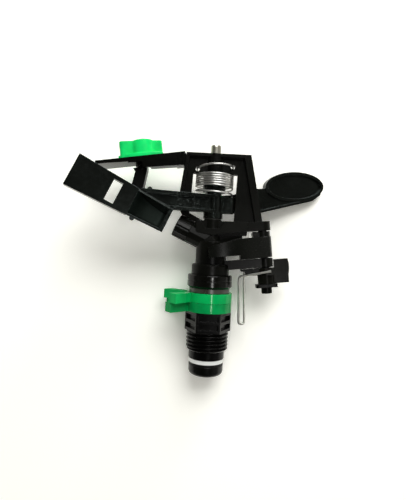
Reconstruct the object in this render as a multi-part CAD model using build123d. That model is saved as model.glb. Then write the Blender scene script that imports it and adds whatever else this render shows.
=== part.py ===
"""Part-circle impact sprinkler on a G 1/2 inlet, as separate pieces in one frame.

The spin axis is Z and the origin is the shoulder above the inlet thread.
+X points from the nozzle to the reversing gear, and -Y is the front.
"""
import math
import os

from build123d import *

# Driving sizes, millimetres and degrees

# Fits between pieces
running_clearance = 0.07
seat_clearance = 0.03
face_gap = 0.12

# Inlet nipple, thread to ISO 228
thread_major_d = 20.955
thread_minor_d = 18.631
thread_pitch = 1.814
thread_length = 9.4
thread_root_flat = 0.3
thread_lead_in = 1.0
pilot_d = 17.9
pilot_length = 4.0
hex_across_flats = 20.0
hex_height = 9.7
hex_pocket_depth = 1.5
hex_pocket_width = 9.6
hex_rib = 1.5
neck_d = 19.9
neck_height = 9.5
spigot_d = 16.6
spigot_height = 3.4

# Bearing stack
white_washer_d = 17.5
white_washer_thickness = 2.0
tail_seal_d = 17.2
tail_seal_thickness = 1.3
tail_flange_d = 17.4
tail_flange_thickness = 5.1
tail_rounding = 2.2
tube_d = 12.6
waterway_d = 9.2
dust_seal_d = 20.3
dust_seal_height = 2.1
cap_d = 22.5
cap_height = 6.6
cap_wall = 1.7
cap_roof = 1.3
cap_chamfer = 0.9
bearing_spring_wire = 0.8
bearing_spring_turns = 2.5

# Stop collars
collar_wall = 1.55
ear_root_angle = 30.0
ear_slot_angle = 8.0
ear_corner = (-18.0, -13.1)
ear_tip = (-21.1, -8.6)
rear_ear_corner = (-18.2, 13.0)
rear_ear_tip = (-22.3, 8.6)
ear_rounding = 0.3
collar_stagger = 9.5

# Body: neck, barrel, base and bridge
body_neck_d = 18.8
body_neck_height = 5.2
tube_socket_depth = 7.0
barrel_d = 15.4
barrel_height = 11.2
base_rise = 15.5
post_d = 9.0
mitre_left = -4.2
mitre_peak = (-1.1, 2.7)
mitre_right = (1.9, 0.7)
base_dip = 1.1
base_lift = 1.7
base_thickness = 6.0
base_half_depth = 5.2
base_recess_floor = 3.6
window_height = 23.6
bridge_beam = 9.9
bridge_web = 3.0
bridge_rim_depth = 7.0
bridge_rim = 1.6
bridge_wide_rim = 3.6
bridge_top_left = -14.5
bridge_top_right = 17.5
bridge_foot_left = -17.9
bridge_foot_right = 24.7
window_left = -11.2
window_right = 10.9
boss_d = 9.2
boss_rise = 0.6

# Nozzle
nozzle_angle = 24.5
nozzle_elbow_rise = 15.7
nozzle_tube_d = 10.8
nozzle_sides = 12
nozzle_bore = 6.0
nozzle_length = 19.9
nozzle_cap_length = 7.4
nozzle_cap_wall = 1.0
nozzle_orifice = 4.2
nozzle_flutes = 12
flute_r = 0.7
flute_depth = 0.6
nozzle_spigot_d = 7.6
fin_thickness = 0.8
fin_length = 8.0

# Rocker arm
pin_d = 5.0
pin_rise = 4.6
pin_slot = 1.4
pin_slot_turn = 0.0
hub_washer_thickness = 0.6
hub_d = 7.9
hub_height = 13.2
hub_flange_d = 9.8
hub_flange = 3.2
drum_d = 11.4
drum_height = 8.6
arm_rest_angle = 15.0
arm_web = 1.8
web_share = 0.72
web_marks = ((17.6, 4.1), (9.4, 5.0))
web_mark_d = 3.2
web_mark_height = 0.35
arm_flange = 1.5
arm_offset = 1.0
arm_depth = 3.9
arm_height = 8.9
arm_lift = 2.7
deflector_angle = 24.4
deflector_length = 48.6
deflector_inlet = 12.7
deflector_outlet = 15.7
deflector_wall = 1.6
deflector_depth = 12.4
deflector_lip = 5.9
mouth_rim = 1.1
mouth_bevel = 1.0
mouth_taper = 1.7
mouth_bar = 1.8
deflector_start = -23.57
deflector_drop = 2.7
vane_length = 18.5
vane_floor = 10.7
vane_thickness = 1.5
deflector_window = (25.9, 30.4)
deflector_window_height = 10.5
tail_dish_centre = (45.8, 20.7)
tail_dish_width = 34.6
tail_dish_height = 15.8
tail_dish_tilt = 5.3
tail_dish_rim = 1.4
tail_dish_recess = 1.5

# Arm spring
spring_wire = 0.78
spring_mean_d = 17.6
spring_coils = 5.967
spring_coil_pitch = 1.2
spring_lower_turn = 0.5
spring_lower_rise = 1.7
spring_rear_rise = 4.84
spring_front_fall = 1.7
spring_eye_d = 2.2
spring_bend = 1.3
spring_start_angle = -12.0
spring_start_rise = 12.6

# Jet diffuser
bracket_slope = 8.8
bracket_length = 45.0
bracket_width = 12.6
bracket_plate = 1.7
bracket_skirt = 6.7
bracket_skirt_end = 5.7
bracket_skirt_length = 22.0
bracket_floor_length = 18.6
bracket_skirt_wall = 1.5
bracket_block = 6.0
bracket_floor = 1.4
bracket_floor_depth = 5.4
bracket_lip = 0.5
bracket_step = 1.0
bracket_step_end = 29.0
bracket_boss_d = 6.8
bracket_notch = (0.7, 1.3)
bracket_grooves = (2.9, 5.0)
bracket_groove = 0.45
knob_reach = 22.9
knob_flange_d = 22.2
knob_flange = 1.8
knob_height = 8.5
knob_depth = 12.6
knob_flange_end = 7.6
knob_hub_d = 11.6
knob_hub_shift = 1.0
knob_wing_length = 21.2
knob_wing_width = 6.0
knob_wing_turn = 15.0
knob_blend = 1.4
knob_rounding = 0.45
stem_d = 5.0
stem_bore = 3.0
stem_below = 2.2
stem_recess = 1.6
blade_width = 6.0
blade_depth = 5.0
blade_back = 4.0
blade_bottom = 19.5
blade_slant = 17.0
blade_spindle = 6.0

# Reversing gear
pivot_reach = 27.5
pivot_rise = 5.0
pivot_tilt = 7.0
trip_pin_d = 4.2
trip_pin_head_d = 5.3
trip_pin_head = 3.0
pivot_boss_d = 8.2
bracket_arm_thickness = 4.5
bracket_arm_depth = 7.2
lug_thickness = 4.5
lug_gap = 0.4
trip_lever_height = 8.0
trip_lever_arm = 12.4
trip_lever_tip = 0.9
flag_width = 6.9
flag_height = 12.0
flag_swell = 0.45
flag_cut = 1.5
flag_thickness = 2.2
pin_clip_length = 10.7
pin_clip_width = 6.4
pin_clip_thickness = 1.7
wire_d = 1.2
wire_bend = 1.6
hairpin_gap = 3.0
hairpin_reach = 15.45
hairpin_corner = (14.5, -2.0, 27.6)
hairpin_rear = 17.0
hairpin_bottom = 3.7
reversing_height = 10.3
reversing_top_boss = 2.7
reversing_thickness = 4.6
reversing_relief = 2.1
reversing_relief_start = 13.2
reversing_boss_left = 5.2
reversing_taper_start = 13.5
reversing_taper = 3.1
reversing_end_gap = 0.9
toggle_wire = 0.5
toggle_mean_d = 3.2
toggle_turns = 6
toggle_pitch = 0.95

# Levels worked out from the sizes above
hex_top = hex_height
neck_top = hex_top + neck_height
spigot_top = neck_top + spigot_height
thread_end = -thread_length
pilot_end = thread_end - pilot_length
white_washer_bottom = pilot_end - white_washer_thickness
tail_seal_bottom = white_washer_bottom - tail_seal_thickness
tail_bottom = tail_seal_bottom - tail_flange_thickness
cap_bottom = neck_top + dust_seal_height + face_gap
cap_top = cap_bottom + cap_height
tube_top = cap_top + tube_socket_depth
barrel_bottom = cap_top + body_neck_height
barrel_top = barrel_bottom + barrel_height
base_bottom = barrel_bottom + base_rise
base_top = base_bottom + base_thickness
window_top = base_top + window_height
bridge_top = window_top + bridge_beam
boss_top = base_top + boss_rise
hub_bottom = boss_top + hub_washer_thickness
elbow_z = cap_top + nozzle_elbow_rise

BASE = (Align.CENTER, Align.CENTER, Align.MIN)


def disc(diameter, bottom, top):
    """Upright cylinder on the spin axis."""
    return Pos(0, 0, bottom) * Cylinder(diameter / 2, top - bottom, align=BASE)


def slab(points, front, back):
    """Outline in X and Z, given its depth from front to back in Y."""
    face = make_face(Plane.XZ * Polyline(*points, close=True))
    return Pos(0, back, 0) * extrude(face, back - front, dir=(0, -1, 0))


def rod(path, diameter):
    """Round bar along a path."""
    section = Plane(origin=path @ 0, z_dir=path % 0) * Circle(diameter / 2)
    return sweep(section, path=path)


def biarcs(points, tangents):
    """Pairs of tangent arcs from point to point."""
    edges = []
    for start, end, leave, meet in zip(points, points[1:], tangents, tangents[1:]):
        chord = end - start
        bend = 2 * (1 - leave.dot(meet))
        reach = chord.dot(leave + meet)
        span = (math.sqrt(reach * reach + bend * chord.dot(chord)) - reach) / bend
        joint = (start + end + (leave - meet) * span) * 0.5
        edges.append(TangentArc(start, joint, tangent=leave))
        edges.append(TangentArc(joint, end, tangent=edges[-1] % 1))
    return edges


def bent_line(points, bend):
    """Straight runs joined by round bends of one radius."""
    corners = [Vector(*point) for point in points]
    edges = []
    start = corners[0]
    for before, corner, after in zip(corners, corners[1:], corners[2:]):
        into = (corner - before).normalized()
        away = (after - corner).normalized()
        turn = math.acos(max(-1.0, min(1.0, into.dot(away))))
        setback = bend * math.tan(turn / 2)
        first = corner - into * setback
        last = corner + away * setback
        edges.append(Line(start, first))
        edges.append(TangentArc(first, last, tangent=into))
        start = last
    edges.append(Line(start, corners[-1]))
    return Wire(edges)


def coil_nodes(radius, heights, start_angle, step_angle):
    """Points and tangents of a winding, one node per step."""
    points = []
    tangents = []
    last = len(heights) - 1
    for index, height in enumerate(heights):
        angle = math.radians(start_angle + step_angle * index)
        behind = heights[max(index, 1)] - heights[max(index, 1) - 1]
        ahead = heights[index + 1] - height if index < last else behind
        rise = min(behind, ahead, key=abs) / math.radians(step_angle)
        points.append(Vector(radius * math.cos(angle), radius * math.sin(angle), height))
        along = Vector(-radius * math.sin(angle), radius * math.cos(angle), rise)
        tangents.append(along.normalized() * math.copysign(1, step_angle))
    return points, tangents


def least_self_gap(path, wire, turn_length):
    """Least air between turns, measured on points along the path."""
    count = max(60, int(path.length / (wire * 0.6)))
    points = [path @ (index / count) for index in range(count + 1)]
    skip = int(0.6 * turn_length / (path.length / count))
    least = 1e9
    for index, point in enumerate(points):
        for other in points[index + skip:]:
            least = min(least, (other - point).length)
    return least - wire


pieces = {}

# Inlet nipple: thread, hexagon and neck
thread_core = disc(thread_major_d, thread_end, 0)
thread_core = chamfer(thread_core.edges().sort_by(Axis.Z)[0], thread_lead_in)
helix = Helix(thread_pitch, thread_length + 2 * thread_pitch, thread_major_d / 2,
              center=(0, 0, thread_end - thread_pitch))
groove_depth = (thread_major_d - thread_minor_d) / 2
groove_over = 0.2
groove_half = thread_pitch * 0.46
groove = Polyline((-groove_depth, -thread_root_flat / 2), (-groove_depth, thread_root_flat / 2),
                  (groove_over, groove_half), (groove_over, -groove_half), close=True)
groove_face = Plane(origin=helix @ 0, x_dir=(1, 0, 0), z_dir=helix % 0) * make_face(groove)
nipple = thread_core - sweep(groove_face, path=helix, is_frenet=True)
nipple += disc(pilot_d, pilot_end, thread_end)
hexagon = extrude(RegularPolygon(hex_across_flats / 2, 6, major_radius=False, rotation=0), hex_height)
pocket_height = (hex_height - 3 * hex_rib) / 2
for side in range(6):
    for row in range(2):
        level = hex_rib + pocket_height / 2 + row * (pocket_height + hex_rib)
        cut = Box(2 * hex_pocket_depth, hex_pocket_width, pocket_height)
        hexagon -= Rot(0, 0, 30 + 60 * side) * Pos(hex_across_flats / 2, 0, level) * cut
nipple += hexagon
nipple += disc(neck_d, hex_top, neck_top)
nipple += disc(spigot_d, neck_top, spigot_top)
tube_hole_d = tube_d + 2 * running_clearance
pieces["inlet_nipple"] = nipple - disc(tube_hole_d, pilot_end, spigot_top)

# Washers of the tail stack and the dust seal
pieces["white_washer"] = (disc(white_washer_d, white_washer_bottom, pilot_end)
                          - disc(tube_hole_d, white_washer_bottom, pilot_end))
pieces["tail_seal"] = (disc(tail_seal_d, tail_seal_bottom, white_washer_bottom)
                       - disc(tube_hole_d, tail_seal_bottom, white_washer_bottom))
pieces["dust_seal"] = (disc(dust_seal_d, neck_top, neck_top + dust_seal_height)
                       - disc(spigot_d + 2 * seat_clearance, neck_top, neck_top + dust_seal_height))

# Bearing tube with the tail flange
tail = disc(tail_flange_d, tail_bottom, tail_seal_bottom)
tail = fillet(tail.edges().sort_by(Axis.Z)[0], tail_rounding)
tube = tail + disc(tube_d, tail_bottom + tail_rounding, tube_top)
pieces["bearing_tube"] = tube - disc(waterway_d, tail_bottom, tube_top)

# Sand cap over the bearing
cap = disc(cap_d, cap_bottom, cap_top)
cap = fillet(cap.edges().sort_by(Axis.Z)[-1], 0.8)
cap = chamfer(cap.edges().sort_by(Axis.Z)[0], cap_chamfer)
cap -= disc(cap_d - 2 * cap_wall, cap_bottom, cap_top - cap_roof)
cap -= disc(tube_d + 2 * seat_clearance, cap_bottom, cap_top)
cap_line = cap_bottom + 0.52 * cap_height
cap -= disc(cap_d + 1, cap_line, cap_line + 0.5) - disc(cap_d - 0.7, cap_line, cap_line + 0.5)
pieces["sand_cap"] = cap

# Bearing spring between spigot and cap roof
coil_room = cap_top - cap_roof - spigot_top - bearing_spring_wire - 2 * seat_clearance
coil_low = spigot_top + bearing_spring_wire / 2 + seat_clearance
coil_steps = int(bearing_spring_turns * 4)
coil_levels = [coil_low + coil_room * step / coil_steps for step in range(coil_steps + 1)]
bearing_coil_d = (spigot_d + tube_hole_d) / 2
coil_path = Wire(biarcs(*coil_nodes(bearing_coil_d / 2, coil_levels, 0, 90)))
pieces["bearing_spring"] = rod(coil_path, bearing_spring_wire)
print("bearing spring least gap", round(least_self_gap(coil_path, bearing_spring_wire,
                                                       math.pi * bearing_coil_d), 3))

# Stop collars, two spring rings with flared ears
collar_height = (neck_height - 3 * face_gap) / 2
collar_in = neck_d / 2 + running_clearance
collar_out = collar_in + collar_wall


def on_collar(radius, angle):
    """Point on the collar, the angle counted from -X towards the front."""
    turn = math.radians(angle)
    return (-radius * math.cos(turn), -radius * math.sin(turn))


def stop_collar(bottom):
    """Ring with two ears and a slot between them."""
    ring = Circle(collar_out)
    for side, corner, tip in ((1, ear_corner, ear_tip), (-1, rear_ear_corner, rear_ear_tip)):
        outline = [on_collar(collar_out - 0.4, side * ear_root_angle), corner, tip,
                   on_collar(collar_out, side * ear_slot_angle),
                   on_collar(collar_in + 0.4, side * ear_slot_angle)]
        ring += make_face(Polyline(*outline, close=True))
    reach = 2 * collar_out
    slot = make_face(Polyline((0, 0), on_collar(reach, ear_slot_angle), on_collar(reach, -ear_slot_angle),
                              close=True))
    ring = ring - Circle(collar_in) - slot
    solid = extrude(ring, collar_height)
    upright = solid.edges().filter_by(Axis.Z).filter_by(lambda edge: edge.center().X < ear_corner[0] + 0.5)
    return Pos(0, 0, bottom) * fillet(upright, ear_rounding)


lower_collar_bottom = hex_top + face_gap
pieces["lower_stop_collar"] = stop_collar(lower_collar_bottom)
upper_collar = stop_collar(lower_collar_bottom + collar_height + face_gap)
pieces["upper_stop_collar"] = Rot(0, 0, collar_stagger) * upper_collar

# Frames of the nozzle and of the tilted reversing pivot
slope = math.radians(nozzle_angle)
nozzle_plane = Plane(origin=(0, 0, elbow_z), x_dir=(math.sin(slope), 0, math.cos(slope)),
                     z_dir=(-math.cos(slope), 0, math.sin(slope)))
tilt = math.radians(pivot_tilt)
pivot_plane = Plane(origin=(pivot_reach, 0, cap_top + pivot_rise), x_dir=(math.cos(tilt), 0, math.sin(tilt)),
                    z_dir=(-math.sin(tilt), 0, math.cos(tilt)))


def nozzle_point(along, above):
    """X and Z of a point by its distance along the jet and above it."""
    return (-along * math.cos(slope) + above * math.sin(slope),
            elbow_z + along * math.sin(slope) + above * math.cos(slope))


def at_pivot(solid):
    """Place a solid made in the pivot's own frame."""
    return pivot_plane.location * solid


def pivot_disc(diameter, bottom, top):
    """Cylinder round the reversing pivot, in the pivot's frame."""
    return Pos(0, 0, bottom) * Cylinder(diameter / 2, top - bottom, align=BASE)


# Body: neck, barrel, base and nozzle tube
body = disc(body_neck_d, cap_top, barrel_bottom)
body = fillet(body.edges().sort_by(Axis.Z)[-1], 1.0)
body += disc(barrel_d, cap_top, barrel_top)
body += disc(post_d, barrel_bottom, base_bottom + base_thickness / 2)
base_left = -barrel_d / 2 - 0.5
lug_left = bridge_foot_right - 7.5
body += slab([(base_left, base_bottom), (0, base_bottom - base_dip), (lug_left, base_bottom + base_lift),
              (lug_left, base_top), (base_left, base_top)], -base_half_depth, base_half_depth)
tube_end = nozzle_length - nozzle_cap_length
nozzle_section = RegularPolygon(nozzle_tube_d / 2, nozzle_sides, major_radius=False)
nozzle_tube = nozzle_plane.location * extrude(nozzle_section, tube_end)
peak_z = barrel_top + mitre_peak[1]
mitre_rise = (peak_z - barrel_top) / (mitre_peak[0] - mitre_left)
nozzle_tube -= slab([(mitre_left - 9, barrel_top - 9 * mitre_rise),
                     (mitre_peak[0] + 9, peak_z + 9 * mitre_rise),
                     (mitre_peak[0] + 9, barrel_top - 20)], -nozzle_tube_d, nozzle_tube_d)
half_roof = nozzle_tube_d / 2 - 0.4
body += slab([(mitre_left, barrel_top), (mitre_peak[0], peak_z),
              (mitre_right[0], barrel_top + mitre_right[1]), (mitre_right[0], barrel_top - 1),
              (mitre_left, barrel_top - 1)], -half_roof, half_roof)
nozzle_spigot_end = nozzle_length - 2.8
nozzle_spigot = nozzle_plane.location * Cylinder(nozzle_spigot_d / 2, nozzle_spigot_end, align=BASE)
body += nozzle_tube + nozzle_spigot

# Body: bridge frame with its window and rim
cap_clear = nozzle_tube_d / 2 + 0.3 * nozzle_cap_wall + face_gap
outline = [(bridge_top_left, bridge_top), (bridge_top_right, bridge_top), (bridge_foot_right, base_top),
           (bridge_foot_right - 3.0, base_bottom + base_lift + 0.5), (lug_left, base_bottom + base_lift),
           (lug_left, base_bottom), nozzle_point(6, 0), nozzle_point(tube_end - 0.5, 0),
           nozzle_point(tube_end - 0.5, cap_clear), nozzle_point(nozzle_length, cap_clear),
           (bridge_foot_left, base_top + 7.0)]
window = [(window_left + 0.3, window_top), (window_right + 0.5, window_top), (window_right - 0.3, base_top),
          (-4.8, base_top), (window_left - 0.7, base_top + 3.6)]
half_web = bridge_web / 2
half_rim = bridge_rim_depth / 2
bridge_face = make_face(Plane.XZ * Polyline(*outline, close=True))
inner_face = offset(bridge_face, -bridge_rim, kind=Kind.INTERSECTION)
rim = extrude(bridge_face, half_rim, both=True) - extrude(inner_face, half_rim, both=True)
rim += slab([(bridge_top_right - bridge_wide_rim, bridge_top), (bridge_top_right, bridge_top),
             (bridge_foot_right, base_top), (bridge_foot_right - bridge_wide_rim, base_top)],
            -half_rim, half_rim)
body += rim + slab(outline, -half_web, half_web)
body -= slab(window, -half_rim - 1, half_rim + 1)
recess = [(-6.2, base_top + 0.5), (-3.5, base_bottom + 2.2), (3.5, base_bottom + 2.2),
          (6.4, base_top + 0.5)]
body -= slab(recess, -base_half_depth - 1, -base_recess_floor)
body -= slab(recess, base_recess_floor, base_half_depth + 1)
body += disc(boss_d, base_bottom, boss_top)
body += disc(boss_d - 1.2, window_top, bridge_top)
gusset_right = lug_left
gusset_foot = barrel_d / 2 - 1.6
body += slab([(0, base_bottom + 2), (gusset_right, base_bottom + 2), (gusset_right, base_bottom - 0.55),
              (gusset_right - 2.2, base_bottom - 0.7), (gusset_right - 2.2, base_bottom - 3.6),
              (gusset_foot, barrel_top - 1.8), (0, barrel_top - 1)], -2.2, 2.2)

# Body: lower bracket and upper lug for the reversing pivot
arm_back = -pivot_reach * math.cos(tilt) + body_neck_d / 2 - 3.0
bracket_arm = Pos(arm_back, 0, 0) * Box(-arm_back, bracket_arm_depth, bracket_arm_thickness,
                                        align=(Align.MIN, Align.CENTER, Align.MIN))
body += at_pivot(bracket_arm + pivot_disc(pivot_boss_d, 0, bracket_arm_thickness))
reversing_bottom = bracket_arm_thickness + lug_gap
reversing_top = reversing_bottom + reversing_height + reversing_top_boss
lug_bottom = reversing_top + lug_gap
lug = pivot_disc(pivot_boss_d, lug_bottom, lug_bottom + lug_thickness)
lug += Pos(0, 0, lug_bottom) * Box(8.0, pivot_boss_d, lug_thickness,
                                   align=(Align.MAX, Align.CENTER, Align.MIN))
body += at_pivot(lug)

# Body: waterway and pin holes
waterway_top = elbow_z - 0.8
body -= disc(tube_d + 2 * seat_clearance, cap_top, tube_top)
body -= disc(waterway_d, cap_top, waterway_top)
body -= nozzle_plane.location * Cylinder(nozzle_bore / 2, nozzle_length, align=BASE)
pin_hole_d = pin_d + 2 * seat_clearance
pin_bottom = base_bottom + 1.6
body -= disc(pin_hole_d, pin_bottom, bridge_top + 2)
trip_hole_d = trip_pin_d + 2 * seat_clearance
trip_pin_top = lug_bottom + lug_thickness
body -= at_pivot(pivot_disc(trip_hole_d, -1, trip_pin_top))

# Nozzle cap with its flutes, and the fins in the tube
cap_start = tube_end + face_gap
cap_r = nozzle_tube_d / 2 + nozzle_cap_wall * 0.3
cap_section = RegularPolygon(cap_r, nozzle_flutes, major_radius=False)
nozzle = Pos(0, 0, cap_start) * extrude(cap_section, nozzle_length - cap_start)
nozzle = chamfer(nozzle.faces().sort_by(Axis.Z)[-1].edges(), 0.25)
flute_reach = cap_r / math.cos(math.pi / nozzle_flutes) - flute_depth + flute_r
for index in range(nozzle_flutes):
    flute = Pos(flute_reach, 0, cap_start - 1) * Cylinder(flute_r, nozzle_length, align=BASE)
    nozzle -= Rot(0, 0, 360 / nozzle_flutes * index) * flute
socket_end = nozzle_spigot_end + face_gap
socket_r = nozzle_spigot_d / 2 + seat_clearance
nozzle -= Pos(0, 0, cap_start) * Cylinder(socket_r, socket_end - cap_start, align=BASE)
nozzle -= Cylinder(nozzle_orifice / 2, nozzle_length, align=BASE)
pieces["nozzle_cap"] = nozzle_plane.location * nozzle
fin_start = tube_end - fin_length
fin_span = nozzle_bore - 2 * seat_clearance
fins = Box(fin_span, fin_thickness, fin_length, align=BASE)
fins += Box(fin_thickness, fin_span, fin_length, align=BASE)
fins = fins & Cylinder(fin_span / 2, fin_length, align=BASE)
pieces["stream_straightener"] = nozzle_plane.location * Pos(0, 0, fin_start) * fins

# Fulcrum pin and hub washer
pin_top = bridge_top + pin_rise
pin = disc(pin_d, pin_bottom, pin_top)
pin = chamfer(pin.edges().sort_by(Axis.Z)[-1], 0.35)
pieces["fulcrum_pin"] = pin - Pos(0, 0, pin_top) * Rot(0, 0, pin_slot_turn) * Box(pin_slot, 2 * pin_d, 2.0)
pieces["hub_washer"] = disc(hub_d + 0.5, boss_top, hub_bottom) - disc(pin_hole_d, boss_top, hub_bottom)

# Rocker arm, drawn straight along X and turned to its rest place
deflect = math.radians(deflector_angle)
front = -arm_offset - arm_depth
back = arm_offset + arm_depth
web_bottom = hub_bottom + arm_lift
web_top = web_bottom + arm_height
deflector_z = hub_bottom - deflector_drop


def deflector_point(along, above):
    """X and Z in the deflector, by distance along it and above its middle."""
    return (deflector_start - along * math.cos(deflect) + above * math.sin(deflect),
            deflector_z + along * math.sin(deflect) + above * math.cos(deflect))


def deflector_half(along):
    """Half height of the deflector, which widens to its outlet."""
    return (deflector_inlet + (deflector_outlet - deflector_inlet) * along / deflector_length) / 2


def deflector_side(sign, start, end, rear):
    """Stretch of the upper or lower side wall."""
    first = sign * deflector_half(start)
    last = sign * deflector_half(end)
    inner = sign * deflector_wall
    return slab([deflector_point(start, first), deflector_point(end, last),
                 deflector_point(end, last - inner), deflector_point(start, first - inner)], front, rear)


def flanged(points, edges, near, far, share=0.5):
    """Web at a share of its depth with flanges along the named edges."""
    middle = near + share * (far - near)
    solid = slab(points, middle - arm_web / 2, middle + arm_web / 2)
    for start, end, inward in edges:
        solid += slab([start, end, (end[0], end[1] + inward), (start[0], start[1] + inward)], near, far)
    return solid


box_corner = deflector_point(0, deflector_half(0))
widening = (deflector_outlet - deflector_inlet) / (2 * deflector_length)
meet = (web_top - box_corner[1]) / (math.sin(deflect) + widening * math.cos(deflect))
web_far = deflector_point(meet, deflector_half(meet))[0]
sunk = deflector_wall / 2
left_web = [(0, web_bottom), deflector_point(sunk, deflector_half(sunk) - sunk),
            deflector_point(meet - sunk, deflector_half(meet - sunk) - sunk),
            (web_far + sunk / 2, web_top), (0, web_top)]
left_edges = [((0, web_bottom), (box_corner[0] - 2 * deflector_wall, box_corner[1]), arm_flange),
              ((web_far + deflector_wall, web_top), (0, web_top), -arm_flange)]
arm = flanged(left_web, left_edges, front, -arm_offset, web_share)
web_face = front + web_share * (-arm_offset - front) - arm_web / 2
for along, above in web_marks:
    mark = Cylinder(web_mark_d / 2, 2 * web_mark_height)
    mark -= Cylinder(web_mark_d / 2 - 0.5, 2 * web_mark_height)
    arm += Pos(-along, web_face, web_bottom + above) * Rot(90, 0, 0) * mark
rear_shallow = front + deflector_lip
rear_deep = front + deflector_depth


def mouth_block(front_inset, rear_inset):
    """Tapered block between the mouth's front and rear outlines."""
    ends = []
    for inset, level in ((front_inset, front), (rear_inset, rear_deep)):
        near = deflector_half(0) - inset
        far = deflector_half(vane_length) - inset
        corners = [deflector_point(0, near), deflector_point(vane_length, far),
                   deflector_point(vane_length, -far), deflector_point(0, -near)]
        ends.append(make_face(Polyline(*[(x, level, z) for x, z in corners], close=True)))
    return loft(ends)


mouth_hollow = mouth_block(mouth_rim, mouth_taper + 1.3 * mouth_rim)
arm += mouth_block(0, mouth_taper) - mouth_hollow
bar_near = deflector_half(0) - mouth_rim / 2
bar_far = deflector_half(mouth_bar) - mouth_rim / 2
mouth_edges = []
for along in (-0.5, vane_length):
    top = deflector_half(along)
    corners = ((top - mouth_bevel, front), (top + 0.5 * mouth_bevel, front + 0.75 * mouth_bevel),
               (top + 0.5 * mouth_bevel, front - 1), (top - mouth_bevel, front - 1))
    spots = [(deflector_point(along, above), level) for above, level in corners]
    mouth_edges.append(make_face(Polyline(*[(x, level, z) for (x, z), level in spots], close=True)))
arm -= loft(mouth_edges)
inlet_bar = slab([deflector_point(0, bar_near), deflector_point(mouth_bar, bar_far),
                  deflector_point(mouth_bar, -bar_far), deflector_point(0, -bar_near)],
                 front, front + arm_web)
arm += inlet_bar
for sign in (1, -1):
    arm += deflector_side(sign, vane_length, deflector_length, rear_shallow)
plate = [deflector_point(vane_length, deflector_half(vane_length)),
         deflector_point(deflector_length, deflector_half(deflector_length)),
         deflector_point(deflector_length, -deflector_half(deflector_length)),
         deflector_point(vane_length, -deflector_half(vane_length))]
arm += slab(plate, front, front + arm_web)
win_start, win_end = deflector_window
win_half = deflector_window_height / 2
arm -= slab([deflector_point(win_start, win_half), deflector_point(win_end, win_half),
             deflector_point(win_end, -win_half), deflector_point(win_start, -win_half)],
            front - 1, front + arm_web + 1)

# Rocker arm: tail bar with its oval dish
dish_x = tail_dish_centre[0]
dish_z = hub_bottom + tail_dish_centre[1]
tail_low = (27.2, hub_bottom + 5.3)
tail_tip = (56.6, hub_bottom + 13.8)
tail_round = (dish_x + 0.45 * tail_dish_width, dish_z - 0.2 * tail_dish_height)
tail_high = (24.0, hub_bottom + 17.7)
tail_web = [(0, web_bottom), tail_low, tail_tip, tail_round, (dish_x, dish_z), tail_high,
            (10.0, web_top + 1.5), (0, web_top)]
arm += flanged(tail_web, [((0, web_bottom), tail_low, arm_flange), (tail_low, tail_tip, arm_flange),
                          (tail_tip, tail_round, arm_flange),
                          ((10.0, web_top + 1.5), tail_high, -arm_flange),
                          ((0, web_top), (10.0, web_top + 1.5), -arm_flange)], arm_offset, back)
dish_place = Plane.XZ * Pos(dish_x, dish_z) * Rot(0, 0, tail_dish_tilt)
dish = extrude(dish_place * Ellipse(tail_dish_width / 2, tail_dish_height / 2), arm_depth)
hollow_face = Ellipse(tail_dish_width / 2 - tail_dish_rim, tail_dish_height / 2 - tail_dish_rim)
hollow = extrude(dish_place * hollow_face, arm_depth)
arm += Pos(0, back, 0) * dish
arm -= Pos(0, arm_offset + tail_dish_recess, 0) * hollow

# Rocker arm: hub, drum and spring hook
drum_bottom = hub_bottom + hub_height
drum_top = drum_bottom + drum_height
arm += disc(hub_d, hub_bottom, drum_bottom)
arm += disc(hub_flange_d, hub_bottom, hub_bottom + hub_flange)
arm += disc(drum_d, drum_bottom, drum_top)
spring_radius = spring_mean_d / 2
spring_low = hub_bottom + spring_start_rise
first_turn = math.radians(spring_start_angle)
hook_x = spring_radius * math.cos(first_turn) - spring_bend * math.sin(first_turn)
hook_y = spring_radius * math.sin(first_turn) + spring_bend * math.cos(first_turn)
hook_reach = math.hypot(hook_x, hook_y)
hook_turn = math.degrees(math.atan2(hook_y, hook_x)) - arm_rest_angle
hook_top = spring_low - spring_bend - 0.4
hook_d = 2.4
hook_height = hook_top - web_bottom
hook = Pos(hook_reach, 0, web_bottom) * Cylinder(hook_d / 2, hook_height, align=BASE)
hook += Pos(0, 0, web_bottom) * Box(hook_reach, hook_d, hook_height,
                                    align=(Align.MIN, Align.CENTER, Align.MIN))
arm += Rot(0, 0, hook_turn) * hook
hook_hole = 3.0
hole_r = spring_wire / 2 + seat_clearance
hole = Pos(hook_reach, 0, hook_top - hook_hole) * Cylinder(hole_r, hook_hole, align=BASE)
arm -= Rot(0, 0, hook_turn) * hole
bead_r = 1.2
bead_low = deflector_point(15.4, -deflector_half(15.4))
bead = Rot(90, 0, 0) * Cylinder(bead_r, 2 * bead_r)
bead = fillet(bead.edges().filter_by(GeomType.CIRCLE), 0.5)
arm += Pos(web_far + 5.6, front + 1.6, web_top) * bead
arm += Pos(bead_low[0], front + 1.6, bead_low[1]) * bead
arm_hole_d = pin_d + 2 * running_clearance
arm -= disc(arm_hole_d, hub_bottom, drum_top)
pieces["rocker_arm"] = Rot(0, 0, arm_rest_angle) * arm

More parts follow.
